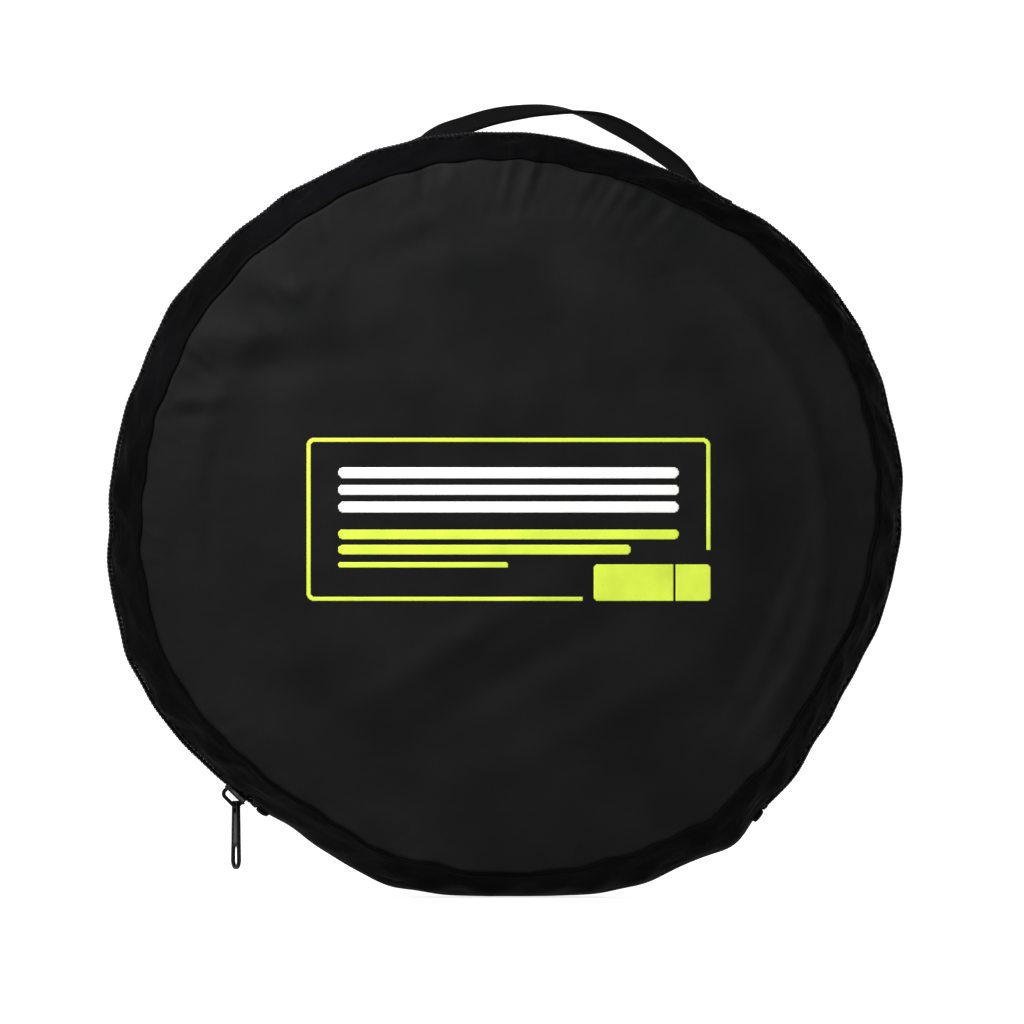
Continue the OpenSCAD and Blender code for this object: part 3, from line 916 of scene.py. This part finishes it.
def block_mask(node):
    """A block with a thin gap near its right end."""
    width, height = ink_box(node)[:2]
    corner, divider, divider_w = 1.65 * MM, 15 * MM, 0.9 * MM

    def mask(x, z):
        in_gap = np.abs(x - width / 2 + divider) < divider_w / 2
        return (rounded(x, z, width / 2, height / 2, corner) < 0) & ~in_gap

    return mask


def bar_mask(node):
    """Bars with round ends, laid out as the CAD node's own solids are."""
    co = np.array([v.co for v in frame["nodes"][node].data.vertices])
    low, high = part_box(node)
    centre_x, centre_z = (low.x + high.x) / 2, (low.z + high.z) / 2
    levels = np.unique(np.round(co[:, 2], 5))
    least_gap = 1.8 * MM
    above_gap = np.flatnonzero(np.diff(levels) > least_gap) + 1
    bars = []
    for rows in np.split(levels, above_gap):
        bottom, top = rows[0], rows[-1]
        mine = co[(co[:, 2] > bottom - 1e-6) & (co[:, 2] < top + 1e-6)]
        left, right = mine[:, 0].min() - centre_x, mine[:, 0].max() - centre_x
        bars.append((left, right, bottom - centre_z, top - centre_z))

    def mask(x, z):
        inside = np.zeros(x.shape, bool)
        for left, right, bottom, top in bars:
            half_w, half_h = (right - left) / 2, (top - bottom) / 2
            from_x, from_z = x - (left + right) / 2, z - (bottom + top) / 2
            inside |= rounded(from_x, from_z, half_w, half_h, half_h * 0.999) < 0
        return inside

    return mask


def make_print():
    fine, coarse = 0.42 * MM, 0.45 * MM
    relief_sheet("print_frame", LIME, frame_mask("print_frame"), fine)
    relief_sheet("print_block", LIME, block_mask("print_block"), coarse)
    relief_sheet("print_white_bars", WHITE, bar_mask("print_white_bars"), coarse)
    relief_sheet("print_lime_bars", LIME, bar_mask("print_lime_bars"), coarse)


# ---------- handle ----------

STRAP_W = 18 * MM
STRAP_T = 1.7 * MM
# The loop's place, as in the CAD model: behind the zip, its half angle on the rim, and its height
HANDLE_BACK = 17 * MM
HANDLE_HALF = 21.5
HANDLE_H = 30 * MM


def strap_profile(roll):
    """Cross-section of the webbing with round edges, rolled about its length."""
    half_w, half_t = STRAP_W / 2, STRAP_T / 2
    turns = np.linspace(-1.4, 1.4, 5)
    corner = [(half_w - half_t * (1 - math.cos(a)), half_t * math.sin(a)) for a in turns]
    across = np.linspace(half_w - half_t, half_t - half_w, 9)[1:-1]
    top = [(x, half_t) for x in across]
    other = [(-x, -z) for x, z in corner]
    bottom = [(-x, -half_t) for x in across]
    shape = np.array(corner + top + other + bottom)
    c, s = np.cos(roll)[:, None], np.sin(roll)[:, None]
    return np.stack([c * shape[:, 0] - s * shape[:, 1], s * shape[:, 0] + c * shape[:, 1]], axis=-1)


def gusset_arc():
    """Radius of the gusset's cross-section, an arc through both seams and the rim."""
    bulge = RIM_R - SEAM_R
    return (HALF_DEPTH**2 + bulge**2) / (2 * bulge)


def soft_interp(where, places, values):
    """Interpolates like np.interp, with its corners rounded off over a few degrees."""
    shifts = np.linspace(-4.5, 4.5, 13)
    window = np.hanning(15)[1:-1]
    lines = [np.interp(where + shift, places, values) for shift in shifts]
    return np.average(lines, axis=0, weights=window)


class HandleArc:
    """The loop's centre line: an arc that stands square to the gusset behind the zip."""

    def __init__(self):
        self.tilt = math.asin(HANDLE_BACK / gusset_arc())
        self.across = HANDLE_AXIS.normalized()
        width = Matrix.Rotation(-self.tilt, 3, self.across) @ Vector((0, 1, 0))
        self.out = self.across.cross(width)
        foot_r = RIM_R - gusset_arc() * (1 - math.cos(self.tilt))
        chord = foot_r * math.sin(math.radians(HANDLE_HALF))
        self.radius = (chord**2 + HANDLE_H**2) / (2 * HANDLE_H)
        whole = math.asin(chord / self.radius)
        pivot_h = (HANDLE_PIVOT.xz - CENTRE.xz).length - foot_r * math.cos(math.radians(HANDLE_HALF))
        pivot_h /= math.cos(self.tilt)
        self.swing = math.acos((self.radius - HANDLE_H + pivot_h) / self.radius)
        self.end = whole - math.radians(1)
        self.centre = HANDLE_PIVOT - self.out * self.radius * math.cos(self.swing)

    def lift(self, turn):
        return np.sin(turn)[:, None] * np.array(self.across) + np.cos(turn)[:, None] * np.array(self.out)

    def path(self, turn):
        place, outward, sideways = np.array(STRAP_SAG, float).T
        lift = self.lift(turn)
        radius = self.radius + soft_interp(np.degrees(turn), place, outward)[:, None] * MM
        shift = soft_interp(np.degrees(turn), place, sideways)[:, None] * MM
        return np.array(self.centre) + radius * lift + shift * np.array(self.across)


# Roll of the webbing along the loop, both in degrees: it shows its outer face on the left and turns over
STRAP_ROLL = [
    (-54, 8), (-49, 34), (-42, 47), (-22, 46), (-6, 38),
    (3, 26), (12, 10), (20, 5), (40, 4), (54, 0),
]
# Where the soft loop leaves its arc: (degrees along it, outwards, along the chord), in millimetres
STRAP_SAG = [
    (-54, 1.4, -4.5), (-46, 0.6, -3.5), (-36, -0.9, -1.5), (-18, -1.0, 0), (0, -0.3, 0),
    (16, -1.0, 0), (32, -1.6, 0.6), (44, 0.2, 0.8), (54, 0.4, 0),
]


def make_handle():
    """A webbing loop that turns over once, made in two halves that meet at its top."""
    arc = HandleArc()
    for name, side in (("left", -1), ("right", 1)):
        start, stop = sorted((0, side * arc.end))
        turn = np.linspace(start, stop, 90)
        roll = np.radians(soft_interp(np.degrees(turn), *np.array(STRAP_ROLL, float).T))
        strap = swept("handle_" + name, arc.path(turn), strap_profile(roll), up=arc.lift(turn))
        dress(strap, WEBBING)
        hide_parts("handle_strap", "strap_end_" + name)
        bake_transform(strap)
    make_sewn_ends(arc)


def make_sewn_ends(arc):
    """The webbing's ends, laid on the back gusset."""
    for name, node in (("handle_sewn_left", "strap_end_left"), ("handle_sewn_right", "strap_end_right")):
        side = -1 if "left" in name else 1
        middle = math.degrees(math.atan2(-arc.across.z, arc.across.x))
        angle = middle + side * np.linspace(HANDLE_HALF - 2.2, HANDLE_HALF + 5.5, 14)
        angle.sort()
        lift = around(angle, 1.0, 0.0) - [0, 0, CENTRE.z]
        outward = lift * math.cos(arc.tilt) + np.array([0, math.sin(arc.tilt), 0])
        across = arc.tilt / math.asin(HALF_DEPTH / gusset_arc())
        path = gusset_points(angle, across) + outward * STRAP_T * 0.55
        sewn = swept(name, path, strap_profile(np.zeros(len(angle))), up=outward)
        dress(sewn, WEBBING)
        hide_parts(node)
        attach(sewn, "bag")


# ---------- slider and pull ----------

def zip_matrix(angle, radius):
    """A frame on the zip: X clockwise along it, Y to the back, Z outwards."""
    return (
        Matrix.Translation((0, 0, CENTRE.z))
        @ Matrix.Rotation(math.radians(angle), 4, "Y")
        @ Matrix.Translation((0, 0, radius))
    )


def plate(name, outlines, thickness, bevel, matrix):
    """A flat plate with holes and rounded edges, from closed outlines drawn in X and Y."""
    curve = bpy.data.curves.new(name, "CURVE")
    curve.dimensions = "2D"
    curve.fill_mode = "BOTH"
    curve.extrude = thickness / 2 - bevel
    curve.bevel_depth = bevel
    curve.bevel_resolution = 3
    curve.offset = -bevel
    for outline in outlines:
        spline = curve.splines.new("POLY")
        spline.points.add(len(outline) - 1)
        for point, (x, y) in zip(spline.points, outline):
            point.co = (x, y, 0, 1)
        spline.use_cyclic_u = True
    holder = new_object(name, curve)
    mesh = bpy.data.meshes.new_from_object(holder)
    bpy.data.objects.remove(holder)
    bpy.data.curves.remove(curve)
    mesh.transform(matrix)
    mark_edges(mesh)
    return new_object(name, mesh)


def mark_edges(mesh):
    """Writes how sharply the surface turns at each point, for the wear on painted edges."""
    sums = np.zeros((len(mesh.vertices), 3))
    counts = np.zeros(len(mesh.vertices))
    for polygon in mesh.polygons:
        for v in polygon.vertices:
            sums[v] += polygon.normal
            counts[v] += 1
    turned = 1 - np.linalg.norm(sums, axis=1) / np.maximum(counts, 1)
    attribute = mesh.attributes.new("edge", "FLOAT", "POINT")
    attribute.data.foreach_set("value", np.clip(turned * 9, 0, 1).astype(np.float32))
    mesh.polygons.foreach_set("use_smooth", [True] * len(mesh.polygons))


def join(name, parts):
    with bpy.context.temp_override(active_object=parts[0], selected_editable_objects=parts):
        bpy.ops.object.join()
    parts[0].name = name
    return parts[0]


def arc_points(centre_x, centre_y, radius, start, stop, steps):
    """Points along a circular arc, from one angle to another in degrees."""
    turns = np.radians(np.linspace(start, stop, steps + 1))
    return [(centre_x + radius * math.cos(a), centre_y + radius * math.sin(a)) for a in turns]


def stadium(half_l, half_w, centre=0.0, steps=10):
    """A slot's outline, long in X."""
    reach = half_l - half_w
    right = arc_points(centre + reach, 0, half_w, 90, -90, steps)
    return right + arc_points(centre - reach, 0, half_w, -90, -270, steps)


def soft_box(half_x, half_y, power, steps):
    """A box's outline with rounded corners: the lower the power, the squarer it is."""
    points = []
    for k in range(steps):
        across, along = math.cos(math.tau * k / steps), math.sin(math.tau * k / steps)
        points.append((
            half_x * math.copysign(abs(across) ** power, across),
            half_y * math.copysign(abs(along) ** power, along),
        ))
    return points


SLIDER_STEPS = 48


def make_slider():
    low_r = COIL_TOP_R + 0.3 * MM
    plate_t = 0.9 * MM
    # Wider at the end that the coils enter, with a soft waist
    half_l, nose_w, tail_w = 5.5 * MM, 4.8 * MM, 3.9 * MM
    outline = []
    for k, (x, y) in enumerate(soft_box(half_l, 1, 0.45, SLIDER_STEPS)):
        narrowing = 0.5 - 0.5 * math.cos(math.tau * k / SLIDER_STEPS)
        outline.append((x, y * (nose_w + (tail_w - nose_w) * narrowing)))
    top_place = zip_matrix(SLIDER_ANGLE, low_r + plate_t / 2)
    parts = [plate("slider_top", [outline], plate_t, 0.28 * MM, top_place)]
    # Lips run down each side: (place along the slider, inner edge, outer edge)
    (tail_x, tail_in, tail_out), (nose_x, nose_in, nose_out) = [
        tuple(size * MM for size in end) for end in ((-4.6, 3.5, 4.3), (4.9, 4.1, 4.8))
    ]
    lip_place = zip_matrix(SLIDER_ANGLE, low_r - 0.5 * MM)
    for side in (-1, 1):
        lip = [
            (tail_x, side * tail_in),
            (nose_x, side * nose_in),
            (nose_x, side * nose_out),
            (tail_x, side * tail_out),
        ]
        if side > 0:
            lip.reverse()
        parts.append(plate(f"slider_lip_{side + 1}", [lip], 1.3 * MM, 0.2 * MM, lip_place))
    body = join("slider_body", parts)
    dress(body, SLIDER_METAL)
    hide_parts("slider_plate")
    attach(body, "slider")
    make_bridge(low_r + plate_t)


def make_bridge(top_r):
    """The arch that the pull hangs from."""
    half, height, thick, wide = 5 * MM, 3.8 * MM, 1.6 * MM, 1.8 * MM
    shoulder, sunk, steps = 1.9 * MM, 0.3 * MM, 8
    inner, crown = half - thick / 2, height - thick / 2
    bend_x, bend_z = inner - shoulder, crown - shoulder
    line = [(-inner, -sunk), (-inner, bend_z)]
    line += arc_points(-bend_x, bend_z, shoulder, 180, 90, steps)
    line += arc_points(bend_x, bend_z, shoulder, 90, 0, steps)
    line += [(inner, bend_z), (inner, -sunk)]
    normals = [(-1, 0)] * 2 + arc_points(0, 0, 1, 180, 90, steps)
    normals += arc_points(0, 0, 1, 90, 0, steps) + [(1, 0)] * 2
    matrix = zip_matrix(SLIDER_ANGLE, top_r)
    turn = matrix.to_3x3()
    path = np.array([matrix @ Vector((x, 0, z)) for x, z in line])
    up = np.array([turn @ Vector((x, 0, z)) for x, z in normals])
    section = np.array(soft_box(wide / 2, thick / 2, 0.6, 20))
    bridge = swept("slider_arch", path, section, up=up)
    mark_edges(bridge.data)
    dress(bridge, BLACK_METAL)
    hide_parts("slider_bridge")
    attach(bridge, "slider")


# Centre of the pull's eye below its pivot, and how far the pull hangs turned about its length
EYE_CENTRE = 2.55 * MM
PULL_TURN = 24


def make_pull():
    """A slotted bar with a raised rim, hanging from its pin under the bridge."""
    length = PULL_PIVOT.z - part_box("pull_tab")[0].z
    pin_r, top_w, end_w = 0.6 * MM, 5.6 * MM, 7.8 * MM
    hang = (
        Matrix.Translation(PULL_PIVOT)
        @ Matrix.Rotation(math.radians(PULL_TURN), 4, "Z")
        @ Matrix(((0, 0, 1, 0), (0, 1, 0, 0), (-1, 0, 0, 0), (0, 0, 0, 1)))
    )

    def outline(inset, steps=16):
        """The bar in its own frame: X down its length, Y across."""
        end_r = end_w / 2 - inset
        centre = length - end_w / 2
        half_top = top_w / 2 - inset
        points = [(-pin_r + inset, half_top - 0.5 * MM), (-pin_r + inset + 0.5 * MM, half_top)]
        turns = np.linspace(0, math.pi, steps)
        points += [(centre + end_r * math.sin(a), end_r * math.cos(a)) for a in turns]
        points += [(-pin_r + inset + 0.5 * MM, -half_top), (-pin_r + inset, 0.5 * MM - half_top)]
        return points[::-1]

    eye = stadium(2 * MM, 1.65 * MM, EYE_CENTRE)
    slot_centre = length - 1.3 * MM - 4.4 * MM
    slot = stadium(4.4 * MM, 2.4 * MM, slot_centre)
    slot_rim = stadium(5.2 * MM, 3.2 * MM, slot_centre)
    eye_rim = [(EYE_CENTRE + (x - EYE_CENTRE) * 1.2, y * 1.3) for x, y in eye]
    web = plate("pull_web", [outline(0.2 * MM), eye, slot], 0.7 * MM, 0.1 * MM, hang)
    parts = [
        plate("pull_rim", [outline(0), outline(1.2 * MM)], 1.6 * MM, 0.22 * MM, hang),
        plate("pull_slot_rim", [slot_rim, slot], 1.4 * MM, 0.2 * MM, hang),
        plate("pull_eye_rim", [eye_rim, eye], 1.3 * MM, 0.2 * MM, hang),
    ]
    rims = join("pull_bar", parts)
    for piece, material in ((web, WEB_METAL), (rims, BLACK_METAL)):
        dress(piece, material)
        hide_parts("pull_tab")
        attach(piece, "pull")


# ---------- end tabs, stops and inner parts ----------

def make_end_tabs():
    """Folded cloth tabs over the ends of the zip."""
    span = 2.2
    for name, start, node in (
        ("end_tab_cloth_left", ZIP_FROM - span, "end_tab_left"),
        ("end_tab_cloth_right", ZIP_TO, "end_tab_right"),
    ):
        angle = np.linspace(start, start + span, 12)[None]
        across = np.linspace(-0.21, 0.21, 14)[:, None]
        points = gusset_points(angle, across)
        lift = around(angle, 1.0, 0.0) - [0, 0, CENTRE.z]
        edge_a = np.sin(np.linspace(0, math.pi, 12))[None] ** 0.25
        edge_b = np.sin(np.linspace(0, math.pi, 14))[:, None] ** 0.35
        points = points + lift * (edge_a * edge_b * 1.7 * MM)[..., None]
        along = np.radians(angle) * RIM_R
        cloth = np.stack(np.broadcast_arrays(along, across * HALF_DEPTH, 0.0), axis=-1)
        tab = grid_object(name, points, cloth)
        dress(tab, BINDING_PAINTED_SHADE)
        thicken(tab, 0.5 * MM)
        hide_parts(node)
        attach(tab, "bag")


def make_hoops():
    """Spring hoops in cloth sleeves, each folded into three loops."""
    for k in range(1, 7):
        low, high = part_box(f"hoop_{k}")
        depth = (low.y + high.y) / 2
        turn = np.linspace(0, 6 * math.pi, 540, endpoint=False)
        bundle = turn / 3
        radius = HOOP_R + 2.1 * MM * np.cos(bundle)
        wander = 0.25 * MM * np.sin(turn * 7 / 3 + k)
        path = np.stack([
            CONTENTS.x + radius * np.sin(turn),
            depth + 2.1 * MM * np.sin(bundle) + wander,
            CONTENTS.z + radius * np.cos(turn),
        ], axis=-1)
        outward = path - np.array([CONTENTS.x, depth, CONTENTS.z])
        hoop = swept(f"folded_hoop_{k}", path, round_profile(1.65 * MM, 10), closed=True, up=outward)
        dress(hoop, SLEEVE)
        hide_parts(f"hoop_{k}")
        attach(hoop, "bag")


def make_nets():
    """Netting gathered inside each hoop, in deep soft folds."""
    spokes, rings = 180, 22
    for k in range(1, 7):
        low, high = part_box(f"net_{k}")
        middle, half = (low.y + high.y) / 2, (high.y - low.y) / 2
        angle = np.linspace(0, 2 * math.pi, spokes, endpoint=False)[None]
        share = (np.arange(1, rings + 1) / rings)[:, None]
        radius = share * ((high.x - low.x) / 2 + 0.8 * MM)
        x = CONTENTS.x + radius * np.sin(angle)
        z = CONTENTS.z + radius * np.cos(angle)
        swirl = np.sin(17 * angle + 9 * share + k) * 0.5 + np.sin(29 * angle - 14 * share + 2 * k) * 0.35
        folds = swirl * np.clip(share * 2.5, 0, 1) * np.clip((1 - share) * 6, 0, 1)
        crumple = noise_at(np.stack([x, np.full_like(x, 0.1 * k), z], axis=-1), 16 * MM, k)
        for side, name in ((-1, "front"), (1, "back")):
            stand = half * (0.62 + 0.3 * folds + 0.25 * crumple) * np.sqrt(np.clip(1 - share**8, 0, 1))
            points = np.stack([x, middle + side * stand, z], axis=-1)
            centre = np.array([[CONTENTS.x, middle + side * half * 0.5, CONTENTS.z]])
            flat = np.concatenate([centre, points.reshape(-1, 3)])
            faces = [tuple(v + 1 for v in f) for f in grid_faces(rings, spokes, close_columns=True)]
            faces += [(0, (j + 1) % spokes + 1, j + 1) for j in range(spokes)]
            if side < 0:
                faces = [f[::-1] for f in faces]
            net = mesh_object(f"net_{k}_{name}", flat, faces, flat[:, [0, 2, 1]])
            dress(net, NETTING)
            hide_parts(f"net_{k}")
            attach(net, "bag")


def make_bindings():
    """Binding tape over the raw edges inside the front seam, and on the back one."""
    for side, name, nodes in (
        (-1, "front_edge_binding", ("front_binding", "front_binding_lower")),
        (1, "back_edge_binding", ("back_binding",)),
    ):
        angle = np.linspace(0, 360, 480, endpoint=False)
        radius = seam_radius(angle) - 4.6 * MM
        path = around(angle, radius, side * (HALF_DEPTH - 2.4 * MM))
        binding = swept(name, path, round_profile(3 * MM, 12, squash=0.28), closed=True, up=(0, 1, 0))
        dress(binding, BINDING_PAINTED_SHADE)
        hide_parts(*nodes)
        if side < 0:
            bend_with_cover(binding)
        else:
            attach(binding, "bag")


def make_stops():
    """Crimped stops that close the two ends of the zip."""
    half_l, half_w = 1.1 * MM, 2.4 * MM
    outline = [(-half_l, -half_w), (half_l, -half_w), (half_l, half_w), (-half_l, half_w)]
    for node in ("zip_stop_left", "zip_stop_right"):
        low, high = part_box(node)
        middle = (low + high) / 2 - CENTRE
        angle = math.degrees(math.atan2(middle.x, middle.z)) % 360
        radius = RIM_R + float(rim_offset(angle))
        stop = plate(node + "_crimp", [outline], 1.8 * MM, 0.4 * MM, zip_matrix(angle, radius))
        dress(stop, BLACK_METAL)
        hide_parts(node)
        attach(stop, "bag")


def dress_underplate():
    dress(frame["nodes"]["slider_underplate"], SLIDER_METAL)


# ---------- stage, lights and camera ----------

def make_stage():
    """A round floor that curves up into a wall on all sides, beyond any camera."""
    flat_r, bend_r, wall_h = 6.4, 1.2, 4.0
    profile = [(radius, 0.0) for radius in np.linspace(0.4, flat_r, 13)]
    bend = np.linspace(0, math.pi / 2, 12)[1:]
    profile += [(flat_r + bend_r * math.sin(a), bend_r * (1 - math.cos(a))) for a in bend]
    profile.append((flat_r + bend_r, wall_h))
    turn = np.linspace(0, math.tau, 72, endpoint=False)
    points = np.array([[(r * math.cos(a), r * math.sin(a), z) for a in turn] for r, z in profile])
    faces = grid_faces(len(profile), len(turn), close_columns=True)
    faces.append(tuple(range(len(turn)))[::-1])
    floor = mesh_object("floor", points, faces)
    floor.data.materials.append(floor_material())


def area_light(name, place, aim, size, power):
    light = bpy.data.lights.new(name, "AREA")
    light.shape = "RECTANGLE"
    light.size, light.size_y = size
    light.energy = power
    obj = new_object(name, light)
    obj.location = place
    obj.rotation_euler = (Vector(aim) - Vector(place)).to_track_quat("-Z", "Y").to_euler()
    obj.visible_camera = False


def make_lights():
    aim = (0, 0, 0.16)
    area_light("key", (-0.26, -0.34, 0.55), aim, (0.22, 0.18), 9)
    area_light("back_key", (0.3, 1.3, 0.45), aim, (0.6, 0.5), 5)
    world = bpy.data.worlds.new("studio")
    bpy.context.scene.world = world
    world.use_nodes = True
    world.node_tree.nodes["Background"].inputs["Color"].default_value = (1, 1, 1, 1)
    world.node_tree.nodes["Background"].inputs["Strength"].default_value = 0.3


def make_camera():
    """Square to the front and slightly below it, far enough away for little perspective."""
    distance, elevation = 3.0, math.radians(-1.5)
    view_width = 425.5 * MM
    target = Vector((1.4 * MM, 0, CENTRE.z + 2.2 * MM))
    camera = bpy.data.cameras.new("camera")
    camera.sensor_width = 36
    camera.lens = 36 * distance / view_width
    camera.clip_start, camera.clip_end = 0.1, 20
    obj = new_object("camera", camera)
    back = Vector((0, -math.cos(elevation), math.sin(elevation)))
    obj.location = target + back * distance
    obj.rotation_euler = (-back).to_track_quat("-Z", "Y").to_euler()
    scene = bpy.context.scene
    scene.camera = obj
    scene.view_settings.view_transform = "Standard"


make_camera()
make_stage()
make_lights()
make_panels()
make_gussets()
make_seams()
make_zip()
make_stitches()
make_print()
make_handle()
make_slider()
make_pull()
make_end_tabs()
make_hoops()
make_nets()
make_bindings()
make_stops()
dress_underplate()
